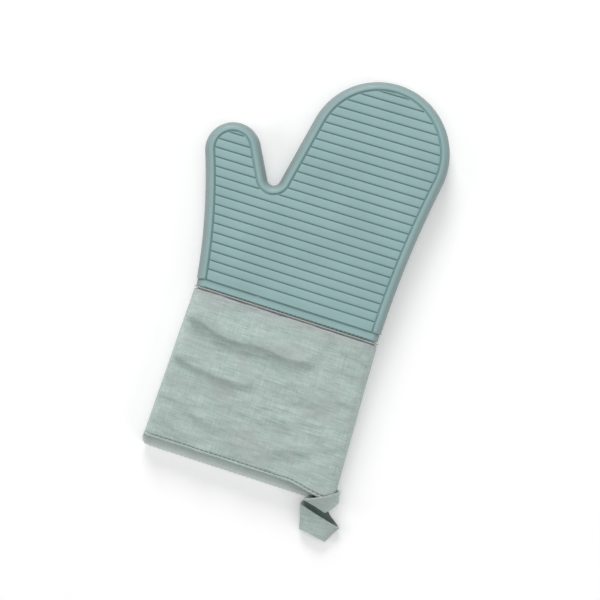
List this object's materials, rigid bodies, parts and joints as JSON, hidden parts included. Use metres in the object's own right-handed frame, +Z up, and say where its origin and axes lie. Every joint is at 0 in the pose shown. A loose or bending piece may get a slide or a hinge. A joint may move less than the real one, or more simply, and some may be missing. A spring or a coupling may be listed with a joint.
{
  "type": "oven mitt",
  "caption": "Flat-lying oven mitt: ribbed silicone glove with bending fingers and thumb, quilted lining, linen cuff with an open hemmed mouth and a tape hanging loop.",
  "frame": {"origin": "middle of the mitt's bounding box, on the surface it lies on", "axes": "+Y from the cuff's mouth to the fingertips, +X from the thumb's side to the little finger's side, +Z up out of the ribbed palm face"},
  "size_m": [0.1925, 0.3584, 0.026],
  "materials": {
    "silicone": "matt moulded silicone, slightly satin on the rim",
    "linen": "slubby plain-weave linen, matt",
    "batting": "soft unbleached wadding",
    "cotton": "quilted plain cotton, matt",
    "thread_dark": "twisted polyester thread",
    "thread_light": "twisted polyester thread"
  },
  "bodies": {
    "palm_and_cuff": {"silicone_palm": "silicone", "batting_front_palm": "batting", "batting_front_cuff": "batting", "batting_back_palm": "batting", "batting_back_cuff": "batting", "cotton_front_palm": "cotton", "cotton_front_cuff": "cotton", "cotton_back_palm": "cotton", "cotton_back_cuff": "cotton", "cuff_front": "linen", "cuff_back": "linen", "hem_front": "linen", "hem_back": "linen", "piping": "linen", "collar_stitching": "thread_dark", "hem_stitching_front": "thread_light", "hem_stitching_back": "thread_light", "loop_tail": "linen"},
    "fingers": {"silicone_fingers": "silicone", "batting_front_fingers": "batting", "batting_back_fingers": "batting", "cotton_front_fingers": "cotton", "cotton_back_fingers": "cotton"},
    "thumb": {"silicone_thumb": "silicone", "batting_front_thumb": "batting", "batting_back_thumb": "batting", "cotton_front_thumb": "cotton", "cotton_back_thumb": "cotton"},
    "hanging_loop": {"hanging_loop": "linen", "loop_stitching": "thread_light"}
  },
  "joints": [
    {"name": "finger_flex", "type": "hinge", "parent": "palm_and_cuff", "child": "fingers", "pos_m": [0.0265, 0.07818, 0.026], "axis": [1, 0, 0], "range_deg": [0, 60], "stiffness_Nm_per_rad": 0.2},
    {"name": "thumb_flex", "type": "hinge", "parent": "palm_and_cuff", "child": "thumb", "pos_m": [-0.06315, 0.06438, 0.026], "axis": [0.866, 0.5, 0], "range_deg": [0, 45], "stiffness_Nm_per_rad": 0.06},
    {"name": "loop_swing", "type": "hinge", "parent": "palm_and_cuff", "child": "hanging_loop", "pos_m": [0.0738, -0.1509, 0.0111], "axis": [-1, 0, 0], "range_deg": [0, 110]}
  ]
}
